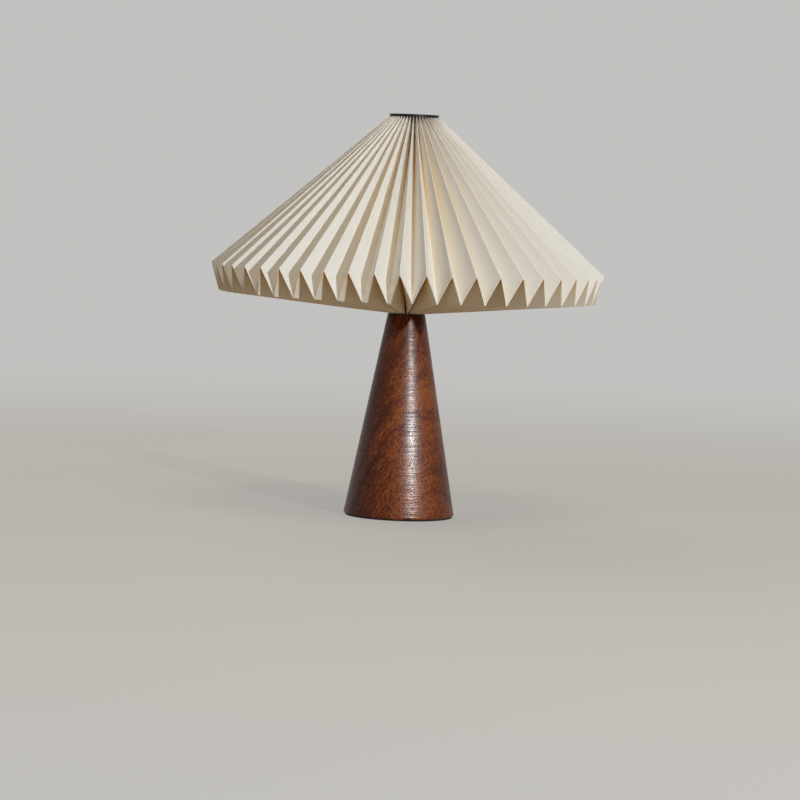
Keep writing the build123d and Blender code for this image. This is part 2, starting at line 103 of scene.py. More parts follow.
# Folded sheet of the shade: its folds, its rows of points and their slight unevenness
PLEATS = 50
FOLDS = 2 * PLEATS
SHEET_THICKNESS = 0.00035
TOP_FOLD_DEPTH = 0.0105
DEEP_FOLDS = (73, 75)
DEEP_FOLD_DEPTH = 0.017
TOP_FOLD_RISE = 0.003
NECK_FOLD_DEPTH = 0.010
NECK_RADIUS = 0.0169
RIM_DROP = 0.0265
RIM_STEP_IN = 0.008
FOLD_RADIUS_TIGHT = 0.00025
FOLD_RADIUS_OPEN = 0.00035
RIM_ROUNDING = 0.0016
FOLD_STEPS = 4
PANEL_SHARES = (0.04, 0.3, 0.7, 0.96)
UPPER_ROWS = 14
UNDER_ROWS = 10
RIM_STEPS = 4
SHEET_SEED = 7
FOLD_SWAY = math.radians(0.14)
FOLD_DRIFT = ((1, -0.25, 0.65), (2, -0.51, 0.37), (3, 0.45, -0.49))
FOLD_LIFT = 0.0005
PANEL_BOW = 0.0006

# Painted shade of the sheet: a warm, darker tint in its folds and on its underside, which stands in for light
# bounced about the folds and passed through the paper. It is least on the open panels and at most 1, deep in
# the folds
PAINTED_SHADE_ATTRIBUTE = "painted_shade"
SHADE_PAINT_FOLD_RADIUS = 0.01
SHADE_PAINT_POWER = 2.8
SHADE_PAINT_POWER_TOP = 1.6
SHADE_PAINT_AT_RIM = 0.06
SHADE_PAINT_FADE = 1.4
SHADE_PAINT_UNDER = 0.36
SHADE_PAINT_UNDER_RIM = 0.20
SHADE_PAINT_UNDER_ROWS = 4

# Gathering thread
THREAD_STEPS = 720
THREAD_SIDES = 10
THREAD_TWISTS = 90
THREAD_LOBE = 0.28

# Shared by the finishes
WHITE = (1.0, 1.0, 1.0)
NOISE_MIDDLE = 0.5
NO_HEIGHT = (1.0, 1.0, 0.0)
FRONT_TO_BACK = (0.0, 1.0, 0.0)


def add(tree, kind, inputs=None, **settings):
    """New shader node. An input takes a value, or the output of another node."""
    node = tree.nodes.new("ShaderNode" + kind)
    for name, value in settings.items():
        setattr(node, name, value)
    for key, value in (inputs or {}).items():
        if isinstance(value, bpy.types.NodeSocket):
            tree.links.new(value, node.inputs[key])
        else:
            node.inputs[key].default_value = value
    return node


def math_node(tree, operation, *values):
    """Result of a Math node."""
    return add(tree, "Math", dict(enumerate(values)), operation=operation).outputs[0]


def vector_node(tree, operation, *vectors):
    """Result of a Vector Math node on vectors."""
    return add(tree, "VectorMath", dict(enumerate(vectors)), operation=operation).outputs[0]


def length(tree, vector):
    """Length of a vector."""
    return add(tree, "VectorMath", {0: vector}, operation="LENGTH").outputs["Value"]


def rotated(tree, vector, axis, angle):
    """Vector turned about an axis through the origin."""
    inputs = {"Vector": vector, "Axis": axis, "Angle": angle}
    return add(tree, "VectorRotate", inputs, rotation_type="AXIS_ANGLE").outputs[0]


def coordinate(tree, vector, axis):
    """One coordinate of a vector."""
    return add(tree, "SeparateXYZ", {0: vector}).outputs[axis]


def rgba(colour):
    """Colour as a node takes it. The output of another node stays as it is."""
    return colour if isinstance(colour, bpy.types.NodeSocket) else (*colour, 1.0)


def ramp(tree, factor, *stops):
    """Colour ramp through (position, colour) stops."""
    node = add(tree, "ValToRGB", {0: factor})
    elements = node.color_ramp.elements
    while len(elements) < len(stops):
        elements.new(0.5)
    for element, (position, colour) in zip(elements, stops):
        element.position = position
        element.color = rgba(colour)
    return node.outputs["Color"]


def spread(tree, value, low, high, reach=(0.0, 1.0), kind="LINEAR"):
    """Value mapped from its reach to the range from low to high."""
    inputs = {"Value": value, "From Min": reach[0], "From Max": reach[1], "To Min": low, "To Max": high}
    return add(tree, "MapRange", inputs, interpolation_type=kind).outputs[0]


def mix(tree, factor, first, second, blend="MIX"):
    """Mix of two colours."""
    inputs = {0: factor, 6: rgba(first), 7: rgba(second)}
    return add(tree, "Mix", inputs, data_type="RGBA", blend_type=blend).outputs[2]


def noise(tree, vector, scale, detail=2.0, roughness=0.5, stretch=(1.0, 1.0, 1.0)):
    """Noise of a number of cells for each metre, stretched along the axes."""
    placed = add(tree, "Mapping", {"Vector": vector, "Scale": stretch})
    inputs = {"Vector": placed.outputs[0], "Scale": scale, "Detail": detail, "Roughness": roughness}
    return add(tree, "TexNoise", inputs).outputs[0]


def bump(tree, height, distance, strength, normal=None):
    """Normal of a bumped surface, with heights as shares of a distance, over another bump if one is given."""
    inputs = {"Height": height, "Distance": distance, "Strength": strength}
    if normal is not None:
        inputs["Normal"] = normal
    return add(tree, "Bump", inputs).outputs[0]


def material(name, **sockets):
    """New material: its node tree, its shader and the coordinates on the piece."""
    made = bpy.data.materials.new(name)
    made.use_nodes = True
    tree = made.node_tree
    shader = tree.nodes["Principled BSDF"]
    for key, value in sockets.items():
        shader.inputs[key.replace("_", " ")].default_value = value
    place = add(tree, "TexCoord").outputs["Object"]
    return made, tree, shader, place


def link(tree, shader, **outputs):
    """Links outputs to the shader's sockets."""
    for key, output in outputs.items():
        tree.links.new(output, shader.inputs[key.replace("_", " ")])


# Wood: growth rings about a leaning pith, with slanting pores and marks from turning, painted light down its
# front middle, painted shade at its sides, and painted shade towards its top, under the shade
WOOD_DARK = (0.036, 0.0048, 0.0006)
WOOD_MIDDLE = (0.163, 0.0285, 0.0032)
WOOD_LIGHT = (0.345, 0.0890, 0.0140)
WOOD_PORE = (0.014, 0.0036, 0.0016)
WOOD_LINE = (0.34, 0.28, 0.25)
WOOD_PORE_LEAST = (0.1, 0.1, 0.1)
WOOD_IOR = 1.5
WOOD_GLOSS = 0.25
WOOD_ANISOTROPY = 1.0
WOOD_ROUGHNESS = (0.09, 0.30)

# Directions and places in the wood
WOOD_PITH = (-0.022, 0.022, 0.0)
WOOD_LEAN = math.radians(5.0)
WOOD_LEAN_TURN = math.radians(44.0)
WOOD_LEAN_AXIS = (-math.cos(WOOD_LEAN_TURN), -math.sin(WOOD_LEAN_TURN), 0.0)
WOOD_SLANT = math.radians(-35.0)
WOOD_BENDS = ((13.0, 0.016), (55.0, 0.005))
WOOD_BEND_DETAIL = 2.0
WOOD_RING_SHIFT = 0.012
# Heights of the upper part, where the specks and bumps change and painted shade darkens the wood, and of its
# top, where the painted shade is strongest
WOOD_UPPER_HEIGHTS = (0.06, 0.20)
WOOD_TOP_SHADE_HEIGHTS = (0.15, 0.20)
# Painted light: a lighter stripe down the wood's front middle, with painted shade beyond it at the sides
WOOD_PAINTED_LIGHT_MIDDLE = 0.008
WOOD_PAINTED_LIGHT_REACH = (0.014, 0.044)

# Noises of the wood: cells for each metre, detail, roughness and stretch
WOOD_BANDS = (120.0, 2.0)
WOOD_LINES = (420.0, 1.0)
WOOD_RING_ROUGHNESS = 0.6
WOOD_FIBRE = (800.0, 3.0, 0.6, (1.0, 1.0, 0.06))
WOOD_SPECKS = (640.0, 2.0, 0.6, (1.0, 1.0, 0.34))
WOOD_PORES = (900.0, 1.0, 0.5, (1.0, 1.0, 0.24))
WOOD_MOTTLE = (480.0, 4.0, 0.7)
WOOD_PATCH = (26.0, 2.0)
WOOD_TURNING = (1.0, 1.0, 0.5, (4.0, 4.0, 560.0))
WOOD_FINE_TURNING = (1.0, 0.0, 0.5, (30.0, 30.0, 2600.0))

# Tone of the wood: what the noises add to it, the painted light and shade that the places add, and the
# colours that it runs through
WOOD_PAINTED_LIGHT_TONE = (0.062, -0.05)
WOOD_TOP_SHADE_TONE = -0.05
WOOD_SPECK_SHARE = (0.46, 0.18)
WOOD_BAND_SHARE = 0.36
WOOD_FIBRE_SHARE = 0.24
WOOD_MOTTLE_SHARE = 0.24
WOOD_PATCH_SHARE = 0.20
WOOD_LINE_SHARE = (0.09, 0.51)
WOOD_TONES = ((0.37, WOOD_DARK), (0.51, WOOD_MIDDLE), (0.63, WOOD_LIGHT))
WOOD_LINE_TONES = ((0.26, WOOD_LINE), (0.42, WHITE))
WOOD_PORE_TONES = ((0.33, WOOD_PORE_LEAST), (0.40, WHITE))

# Bumps of the wood: depth and strength, where a pair of strengths is for the foot and the top
WOOD_SPECK_DEPTH = 0.00008
WOOD_SPECK_BUMP = (0.10, 0.02)
WOOD_PORE_BUMP = (0.00008, 0.2)
WOOD_TURNING_DEPTH = 0.0002
WOOD_TURNING_BUMP = (0.02, 0.05)
WOOD_FINE_TURNING_BUMP = (0.00006, 0.38)


def warped(tree, vector, scale, reach):
    """Vector moved by a smooth noise, by up to about half the reach each way."""
    inputs = {"Vector": vector, "Scale": scale, "Detail": WOOD_BEND_DETAIL}
    wave = add(tree, "TexNoise", inputs).outputs["Color"]
    centred = vector_node(tree, "SUBTRACT", wave, (NOISE_MIDDLE, NOISE_MIDDLE, NOISE_MIDDLE))
    shift = add(tree, "VectorMath", {0: centred, "Scale": reach}, operation="SCALE").outputs[0]
    return vector_node(tree, "ADD", vector, shift)


def ring_noise(tree, radius, scale, detail):
    """Noise that is even along each growth ring."""
    inputs = {"W": radius, "Scale": scale, "Detail": detail, "Roughness": WOOD_RING_ROUGHNESS}
    return add(tree, "TexNoise", inputs, noise_dimensions="1D").outputs[0]


def wood():
    """Finish of the base's wood."""
    made, tree, shader, place = material(
        "wood", IOR=WOOD_IOR, Specular_IOR_Level=WOOD_GLOSS, Anisotropic=WOOD_ANISOTROPY)
    bent = place
    for scale, reach in WOOD_BENDS:
        bent = warped(tree, bent, scale, reach)
    grain = rotated(tree, vector_node(tree, "SUBTRACT", bent, WOOD_PITH), WOOD_LEAN_AXIS, WOOD_LEAN)
    slanted = rotated(tree, bent, FRONT_TO_BACK, WOOD_SLANT)
    from_pith = length(tree, vector_node(tree, "MULTIPLY", grain, NO_HEIGHT))
    radius = math_node(tree, "ADD", from_pith, WOOD_RING_SHIFT)
    bands = ring_noise(tree, radius, *WOOD_BANDS)
    lines = ring_noise(tree, radius, *WOOD_LINES)
    fibre = noise(tree, grain, *WOOD_FIBRE)
    specks = noise(tree, slanted, *WOOD_SPECKS)
    pores = noise(tree, slanted, *WOOD_PORES)
    mottle = noise(tree, place, *WOOD_MOTTLE)
    patch = noise(tree, place, *WOOD_PATCH)
    turning = noise(tree, place, *WOOD_TURNING)
    fine_turning = noise(tree, place, *WOOD_FINE_TURNING)

    height = coordinate(tree, place, "Z")
    upper = spread(tree, height, 0.0, 1.0, WOOD_UPPER_HEIGHTS)
    top_shade = spread(tree, height, 0.0, 1.0, WOOD_TOP_SHADE_HEIGHTS)
    # Painted light down the front middle and painted shade at the sides
    from_painted_light = math_node(tree, "SUBTRACT", coordinate(tree, bent, "X"), WOOD_PAINTED_LIGHT_MIDDLE)
    from_painted_light = math_node(tree, "ABSOLUTE", from_painted_light)
    painted_light = spread(tree, from_painted_light, *WOOD_PAINTED_LIGHT_TONE, WOOD_PAINTED_LIGHT_REACH, "SMOOTHSTEP")
    # Painted shade: darker towards the top, under the shade
    tone = math_node(tree, "MULTIPLY", math_node(tree, "ADD", upper, top_shade), WOOD_TOP_SHADE_TONE)
    tone = math_node(tree, "ADD", tone, painted_light)
    shares = (
        (math_node(tree, "SUBTRACT", specks, NOISE_MIDDLE), spread(tree, upper, *WOOD_SPECK_SHARE)),
        (bands, WOOD_BAND_SHARE),
        (fibre, WOOD_FIBRE_SHARE),
        (mottle, WOOD_MOTTLE_SHARE),
        (patch, WOOD_PATCH_SHARE),
    )
    for part, share in shares:
        tone = math_node(tree, "ADD", tone, math_node(tree, "MULTIPLY", part, share))
    base = ramp(tree, tone, *WOOD_TONES)
    line_share = spread(tree, patch, *WOOD_LINE_SHARE)
    base = mix(tree, line_share, base, ramp(tree, lines, *WOOD_LINE_TONES), "MULTIPLY")
    pore = ramp(tree, pores, *WOOD_PORE_TONES)
    base = mix(tree, pore, WOOD_PORE, base)

    normal = bump(tree, specks, WOOD_SPECK_DEPTH, spread(tree, upper, *WOOD_SPECK_BUMP))
    normal = bump(tree, pore, *WOOD_PORE_BUMP, normal)
    normal = bump(tree, turning, WOOD_TURNING_DEPTH, spread(tree, upper, *WOOD_TURNING_BUMP), normal)
    normal = bump(tree, fine_turning, *WOOD_FINE_TURNING_BUMP, normal)
    round_axis = add(tree, "Tangent", direction_type="RADIAL", axis="Z").outputs[0]
    link(tree, shader, Base_Color=base, Normal=normal, Tangent=round_axis,
         Roughness=spread(tree, mottle, *WOOD_ROUGHNESS))
    return made


# Paper: warm white, matt, thin enough to pass some light, with a fine even tooth, and with warm painted shade
# in its folds and on its underside
PAPER_COLOUR = (0.865, 0.857, 0.838)
PAPER_SHADED = (0.855, 0.846, 0.822)
PAPER_SHADED_SHARE = (0.0, 0.6)
# Painted shade: the warm colour and the darker orange painted deep in the folds, in place of bounced and
# passed-through light
PAPER_FOLD_SHADE = (0.94, 0.78, 0.49)
PAPER_DEEP_SHADE = (0.66, 0.27, 0.03)
PAPER_DEEP_SHADE_POWER = 3.2
PAPER_CLOUD = (24.0, 3.0)
PAPER_FIBRE = (420.0, 2.0, 0.6)
PAPER_FIBRE_TONES = ((0.3, (0.80, 0.76, 0.70)), (0.7, WHITE))
PAPER_FIBRE_SHARE = 0.10
PAPER_TOOTH = (1500.0, 3.0, 0.6)
PAPER_TOOTH_BUMP = (0.00006, 0.35)
PAPER_IOR = 1.4
PAPER_GLOSS = 0.25
PAPER_ROUGHNESS = 0.8
PAPER_SCATTER_WEIGHT = 1.0
PAPER_SCATTER = (1.0, 1.0, 1.0)
PAPER_SCATTER_SCALE = 0.0002


def paper():
    """Finish of the shade's paper, which takes the painted shade of its folds from the sheet's painted shade
    attribute.
    """
    made, tree, shader, place = material(
        "shade_paper", IOR=PAPER_IOR, Roughness=PAPER_ROUGHNESS, Specular_IOR_Level=PAPER_GLOSS,
        Subsurface_Weight=PAPER_SCATTER_WEIGHT, Subsurface_Radius=PAPER_SCATTER,
        Subsurface_Scale=PAPER_SCATTER_SCALE)
    cloud = noise(tree, place, *PAPER_CLOUD)
    tooth = noise(tree, place, *PAPER_TOOTH)
    fibre = noise(tree, place, *PAPER_FIBRE)
    base = mix(tree, spread(tree, cloud, *PAPER_SHADED_SHARE), PAPER_COLOUR, PAPER_SHADED)
    base = mix(tree, PAPER_FIBRE_SHARE, base, ramp(tree, fibre, *PAPER_FIBRE_TONES), "MULTIPLY")
    # Painted shade: warm and dark orange mixed in where the sheet's painted shade is high, deep in the folds
    # and on the underside
    painted_shade = add(tree, "Attribute", attribute_name=PAINTED_SHADE_ATTRIBUTE).outputs["Fac"]
    base = mix(tree, painted_shade, base, PAPER_FOLD_SHADE)
    base = mix(tree, math_node(tree, "POWER", painted_shade, PAPER_DEEP_SHADE_POWER), base, PAPER_DEEP_SHADE)
    link(tree, shader, Base_Color=base, Normal=bump(tree, tooth, *PAPER_TOOTH_BUMP))
    return made


# Plain finishes by slot: dark and light colour, grains for each metre, depth, range of roughness and gloss
PLAIN_GLOSS = 0.5
SPECKLED_SLOTS = {
    "pad_felt": ((0.008, 0.008, 0.008), (0.03, 0.029, 0.028), 1600.0, 0.0003, (0.9, 1.0), PLAIN_GLOSS),
    "black_plastic": ((0.018, 0.018, 0.019), (0.028, 0.028, 0.029), 2500.0, 0.00005, (0.38, 0.52),
                      PLAIN_GLOSS),
    "holder_ceramic": ((0.72, 0.69, 0.62), (0.82, 0.79, 0.72), 1200.0, 0.00008, (0.6, 0.8), PLAIN_GLOSS),
    "black_glass": ((0.010, 0.010, 0.012), (0.018, 0.018, 0.020), 700.0, 0.00002, (0.06, 0.14), PLAIN_GLOSS),
    "white_plastic": ((0.82, 0.82, 0.80), (0.88, 0.88, 0.86), 1800.0, 0.00003, (0.30, 0.42), PLAIN_GLOSS),
    "board_white": ((0.80, 0.81, 0.80), (0.86, 0.87, 0.86), 1500.0, 0.00003, (0.35, 0.5), PLAIN_GLOSS),
    "chip_yellow": ((0.82, 0.60, 0.10), (0.92, 0.74, 0.22), 4000.0, 0.00003, (0.4, 0.6), PLAIN_GLOSS),
    "black_metal": ((0.006, 0.006, 0.0065), (0.012, 0.012, 0.0125), 2200.0, 0.00004, (0.36, 0.50), 0.3),
    "thread": ((0.78, 0.74, 0.66), (0.90, 0.87, 0.81), 2600.0, 0.0001, (0.8, 0.95), PLAIN_GLOSS),
}
GRAIN_DETAIL = 3.0
GRAIN_ROUGHNESS = 0.6
GRAINS_TO_A_CLOUD = 12
GRAIN_BUMP = 0.5

# Metals by slot: dark and light colour and range of roughness
METAL_SLOTS = {
    "plated_steel": ((0.55, 0.55, 0.54), (0.66, 0.66, 0.65), (0.25, 0.45)),
    "brass_contacts": ((0.70, 0.50, 0.22), (0.80, 0.60, 0.30), (0.28, 0.45)),
    "bulb_cap_nickel": ((0.64, 0.63, 0.60), (0.74, 0.72, 0.69), (0.16, 0.30)),
}
METAL_MARKS = (1.0, 3.0, 0.7, (60.0, 60.0, 2600.0))
METAL_CLOUD = (120.0, 2.0)
METAL_BUMP = (0.00003, 0.4)

# Opal globe
OPAL_DARK = (0.90, 0.895, 0.875)
OPAL_LIGHT = (0.94, 0.935, 0.915)
OPAL_CLOUD = (90.0, 2.0)
OPAL_ROUGHNESS = (0.28, 0.42)
OPAL_IOR = 1.47
OPAL_SCATTER_WEIGHT = 0.8
OPAL_SCATTER = (1.0, 0.95, 0.85)
OPAL_SCATTER_SCALE = 0.002


def speckled(name, dark, light, scale, depth, roughness, gloss):
    """Plain finish with a fine grain: speckled colour, uneven gloss and a slight bump."""
    made, tree, shader, place = material(name, Specular_IOR_Level=gloss)
    grain = noise(tree, place, scale, GRAIN_DETAIL, GRAIN_ROUGHNESS)
    cloud = noise(tree, place, scale / GRAINS_TO_A_CLOUD)
    link(tree, shader, Base_Color=mix(tree, grain, dark, light), Roughness=spread(tree, cloud, *roughness),
         Normal=bump(tree, grain, depth, GRAIN_BUMP))
    return made


def turned_metal(name, dark, light, roughness):
    """Metal with fine marks round the axis."""
    made, tree, shader, place = material(name, Metallic=1.0)
    marks = noise(tree, place, *METAL_MARKS)
    cloud = noise(tree, place, *METAL_CLOUD)
    link(tree, shader, Base_Color=mix(tree, cloud, dark, light), Roughness=spread(tree, marks, *roughness),
         Normal=bump(tree, marks, *METAL_BUMP))
    return made


def opal():
    """Opal globe, which scatters light in its wall."""
    made, tree, shader, place = material(
        "opal_globe", IOR=OPAL_IOR, Subsurface_Weight=OPAL_SCATTER_WEIGHT, Subsurface_Radius=OPAL_SCATTER,
        Subsurface_Scale=OPAL_SCATTER_SCALE)
    cloud = noise(tree, place, *OPAL_CLOUD)
    link(tree, shader, Base_Color=mix(tree, cloud, OPAL_DARK, OPAL_LIGHT),
         Roughness=spread(tree, cloud, *OPAL_ROUGHNESS))
    return made


SLOT_MATERIALS = {"wood": wood(), "shade_paper": paper(), "opal_globe": opal()}
for slot_name, finish in SPECKLED_SLOTS.items():
    SLOT_MATERIALS[slot_name] = speckled(slot_name, *finish)
for slot_name, finish in METAL_SLOTS.items():
    SLOT_MATERIALS[slot_name] = turned_metal(slot_name, *finish)
for subpart in frame["record"]["subparts"]:
    for material_slot in frame["nodes"][subpart["node"]].material_slots:
        material_slot.material = SLOT_MATERIALS[subpart["material_slot"]]


def new_piece(name, vertices, faces, body, slot, *nodes):
    """Smooth mesh that rides on a body, takes its slot's finish and stands for CAD nodes."""
    mesh = bpy.data.meshes.new(name)
    mesh.from_pydata(vertices, [], faces)
    mesh.shade_smooth()
    mesh.materials.append(SLOT_MATERIALS[slot])
    piece = bpy.data.objects.new(name, mesh)
    scene.collection.objects.link(piece)
    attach(piece, body)
    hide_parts(*nodes)
    return piece


# Fold lines of the shade, as (radius, height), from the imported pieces
upper_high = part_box("shade_upper")[1]
under_low, under_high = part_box("shade_under")
ring_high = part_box("top_ring")[1]
outer_top = np.array((ring_high.x, upper_high.z))
outer_rim = np.array((upper_high.x, under_high.z))
along = (outer_rim - outer_top) / np.linalg.norm(outer_rim - outer_top)
fold_depth = np.full((FOLDS, 1), TOP_FOLD_DEPTH)
fold_depth[list(DEEP_FOLDS)] = DEEP_FOLD_DEPTH
inner_top = outer_top + fold_depth * np.array((along[1], -along[0])) + np.array((0.0, TOP_FOLD_RISE))
inner_rim = outer_rim - np.array((RIM_STEP_IN, RIM_DROP))
inner_neck = np.array((NECK_RADIUS, under_low.z))
outer_neck = inner_neck + np.array((0.0, NECK_FOLD_DEPTH))

# Slight unevenness of the folding, one draw for each fold
random = np.random.default_rng(SHEET_SEED)
half_angle = math.pi / PLEATS
sway = random.uniform(-FOLD_SWAY, FOLD_SWAY, FOLDS)
from_front = np.arange(FOLDS) * half_angle + math.pi / 2
for waves, even, odd in FOLD_DRIFT:
    sway += np.radians(even * np.cos(waves * from_front) + odd * np.sin(waves * from_front))
lift = random.uniform(-FOLD_LIFT, FOLD_LIFT, FOLDS)
bow = random.uniform(-PANEL_BOW, PANEL_BOW, FOLDS)


def between(first, second, share):
    """What lies at a share of the way from the first to the second."""
    return first + (second - first) * share


def half_pleat(width, depth, radius):
    """Section of the sheet from one fold's tip to the next, as shares of its width and depth."""
    run = depth - 2 * radius
    lean = math.atan2(width, run) - math.asin(2 * radius / math.hypot(width, run))
    turn = np.linspace(0.0, math.pi / 2 - lean, FOLD_STEPS + 1)
    arc = np.stack((radius * np.sin(turn) / width, radius * (1 - np.cos(turn)) / depth), axis=1)
    panel = arc[-1] + (1 - 2 * arc[-1]) * np.array(PANEL_SHARES)[:, None]
    return np.concatenate((arc, panel, 1 - arc[:0:-1]))


def folded_row(outer, inner, radius, openness):
    """One row of points round the sheet, for outer and inner folds at (radius, height).

    openness is 0 at the sheet's gathered ends, where it lies even, and 1 at the rim.
    """
    across_fold = outer - inner.reshape(-1, 2).mean(axis=0)
    depth = float(np.linalg.norm(across_fold))
    section = half_pleat(half_angle * (outer[0] - across_fold[0] / 2), depth, radius)
    outward = across_fold / depth
    folds = np.where(np.arange(FOLDS)[:, None] % 2 == 0, outer, inner)
    middle = math.sin(math.pi * min(openness, 1.0))
    folds = folds + outward * (lift * middle)[:, None]
    angles = np.arange(FOLDS) * half_angle + sway * openness
    next_folds = np.roll(folds, -1, axis=0)
    next_angles = np.roll(angles, -1)
    next_angles[-1] += 2 * math.pi
    across, deep = section.T
    spot = folds[:, None] + (next_folds - folds)[:, None] * deep[None, :, None]
    angle = angles[:, None] + (next_angles - angles)[:, None] * across[None]
    angle = angle + (bow * middle)[:, None] * (4 * deep * (1 - deep))[None] / spot[..., 0]
    points = np.stack((spot[..., 0] * np.cos(angle), spot[..., 0] * np.sin(angle), spot[..., 1]), axis=2)
    return points.reshape(-1, 3)


def upper_row(share):
    """Row of points at a share of the way from the top to the rim."""
    radius = between(FOLD_RADIUS_TIGHT, FOLD_RADIUS_OPEN, share)
    return folded_row(between(outer_top, outer_rim, share), between(inner_top, inner_rim, share),
                      radius, share)


def under_row(share):
    """Row of points at a share of the way from the rim to the neck."""
    radius = between(FOLD_RADIUS_OPEN, FOLD_RADIUS_TIGHT, share)
    return folded_row(between(outer_rim, outer_neck, share), between(inner_rim, inner_neck, share),
                      radius, 1 - share)


def sheet_rows():
    """Rows of points on the sheet's middle surface, from the top over the rounded rim to the neck."""
    upper_end = 1 - RIM_ROUNDING / np.linalg.norm(outer_rim - outer_top)
    under_start = RIM_ROUNDING / np.linalg.norm(outer_rim - outer_neck)
    rows = [upper_row(share) for share in np.linspace(0.0, upper_end, UPPER_ROWS)]
    start = rows[-1]
    corner = upper_row(1.0)
    end = under_row(under_start)
    for step in range(1, RIM_STEPS):
        turn = step / RIM_STEPS
        rows.append((1 - turn) ** 2 * start + 2 * turn * (1 - turn) * corner + turn ** 2 * end)
    rows += [under_row(share) for share in np.linspace(under_start, 1.0, UNDER_ROWS)]
    return np.array(rows)


def row_painted_shade(row_count):
    """Share of painted shade at each point of the sheet's rows, most in the inner folds above and the outer
    folds below.
    """
    half = half_pleat(1.0, 1.0, SHADE_PAINT_FOLD_RADIUS)[:, 1]
    depth = np.stack([half if fold % 2 == 0 else 1 - half for fold in range(FOLDS)]).reshape(-1)
    rim_row = UPPER_ROWS + RIM_STEPS // 2
    rows = []
    for row in range(rim_row):
        share = row / rim_row
        strength = between(SHADE_PAINT_AT_RIM, 1.0, (1 - share) ** SHADE_PAINT_FADE)
        rows.append(strength * depth ** between(SHADE_PAINT_POWER_TOP, SHADE_PAINT_POWER, share))
    for row in range(row_count - rim_row):
        least = between(SHADE_PAINT_UNDER_RIM, SHADE_PAINT_UNDER, min(row / SHADE_PAINT_UNDER_ROWS, 1.0))
        rows.append(least + (1 - least) * (1 - depth) ** SHADE_PAINT_POWER)
    return np.concatenate(rows)


def shade_sheet():
    """The folded sheet, from the top over the rim to the neck, as a closed skin of even thickness."""
    middle = sheet_rows()
    round_it = np.roll(middle, -1, axis=1) - np.roll(middle, 1, axis=1)
    down_it = np.gradient(middle, axis=0)
    normal = np.cross(down_it, round_it)
    normal /= np.linalg.norm(normal, axis=2, keepdims=True)
    skins = np.stack((middle + normal * SHEET_THICKNESS / 2, middle - normal * SHEET_THICKNESS / 2))

    index = np.arange(skins[..., 0].size).reshape(skins.shape[:3])
    after = np.roll(index, -1, axis=2)
    front = np.stack((index[0, :-1], index[0, 1:], after[0, 1:], after[0, :-1]), axis=2)
    back = np.stack((index[1, :-1], after[1, :-1], after[1, 1:], index[1, 1:]), axis=2)
    top_edge = np.stack((index[1, 0], index[0, 0], after[0, 0], after[1, 0]), axis=1)
    neck_edge = np.stack((index[0, -1], index[1, -1], after[1, -1], after[0, -1]), axis=1)
    faces = np.concatenate((front.reshape(-1, 4), back.reshape(-1, 4), top_edge, neck_edge))
    piece = new_piece("folded_sheet", skins.reshape(-1, 3).tolist(), faces.tolist(), "shade", "shade_paper",
                      "shade_upper", "shade_under")
    # Painted shade of the folds and underside, kept on the points for the paper's finish
    painted_shade = piece.data.attributes.new(PAINTED_SHADE_ATTRIBUTE, "FLOAT", "POINT")
    painted_shade.data.foreach_set("value", np.tile(row_painted_shade(len(middle)), len(skins)))
    return piece


sheet = shade_sheet()


def gathering_thread():
    """Two-ply thread through the folds, as a ring with two twisted lobes."""
    low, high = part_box("gather_cord")
    thickness = (high.z - low.z) / 2
    radius = high.x - thickness
    level = (low.z + high.z) / 2
    turn = np.linspace(0, 2 * math.pi, THREAD_STEPS, endpoint=False)[:, None]
    side = np.linspace(0, 2 * math.pi, THREAD_SIDES, endpoint=False)[None]
    size = thickness * (1 - THREAD_LOBE + THREAD_LOBE * np.abs(np.cos(side - turn * THREAD_TWISTS)))
    reach = radius + size * np.cos(side)
    points = np.stack((reach * np.cos(turn), reach * np.sin(turn), level + size * np.sin(side)), axis=2)
    index = np.arange(THREAD_STEPS * THREAD_SIDES).reshape(THREAD_STEPS, THREAD_SIDES)
    beyond = np.roll(index, -1, axis=0)
    faces = np.stack((index, beyond, np.roll(beyond, -1, axis=1), np.roll(index, -1, axis=1)), axis=2)
    new_piece("twisted_thread", points.reshape(-1, 3).tolist(), faces.reshape(-1, 4).tolist(),
              "shade", "thread", "gather_cord")


gathering_thread()


# Stage: a plain pale floor that runs out into the backdrop's colour
def seen_directly(tree):
    """1 for rays that show the backdrop, and 0 for those that light the object."""
    path = add(tree, "LightPath").outputs
    shown = math_node(tree, "MAXIMUM", path["Is Camera Ray"], path["Is Glossy Ray"])
    return math_node(tree, "MAXIMUM", shown, path["Is Transmission Ray"])


def floor():
    """Floor, which keeps the lamp's shadow and shows more of the backdrop's colour further out."""
    made, tree, shader, place = material("floor", Roughness=FLOOR_ROUGHNESS, IOR=FLOOR_IOR)
    grain = noise(tree, place, *FLOOR_GRAIN)
    dark = tuple(FLOOR_DARK_SHARE * part for part in FLOOR_COLOUR)
    colour = mix(tree, grain, dark, FLOOR_COLOUR)
    shown = seen_directly(tree)
    link(tree, shader, Base_Color=mix(tree, shown, FLOOR_BOUNCE, colour),
         Normal=bump(tree, grain, *FLOOR_BUMP))
    fade = spread(tree, length(tree, place), FLOOR_LEAST_SHARE, 1.0, FLOOR_FADE_RADII, "SMOOTHSTEP")
    share = math_node(tree, "MULTIPLY", fade, shown)
    glow = add(tree, "Emission", {"Color": rgba(BACKDROP_COLOUR), "Strength": 1.0})
    blend = add(tree, "MixShader", {0: share, 1: shader.outputs[0], 2: glow.outputs[0]})
    tree.links.new(blend.outputs[0], tree.nodes["Material Output"].inputs["Surface"])
    half = FLOOR_SIZE / 2
    corners = [(-half, -half, 0), (half, -half, 0), (half, half, 0), (-half, half, 0)]
    mesh = bpy.data.meshes.new("floor")
    mesh.from_pydata(corners, [], [(0, 1, 2, 3)])
    mesh.materials.append(made)
    piece = bpy.data.objects.new("floor", mesh)
    scene.collection.objects.link(piece)


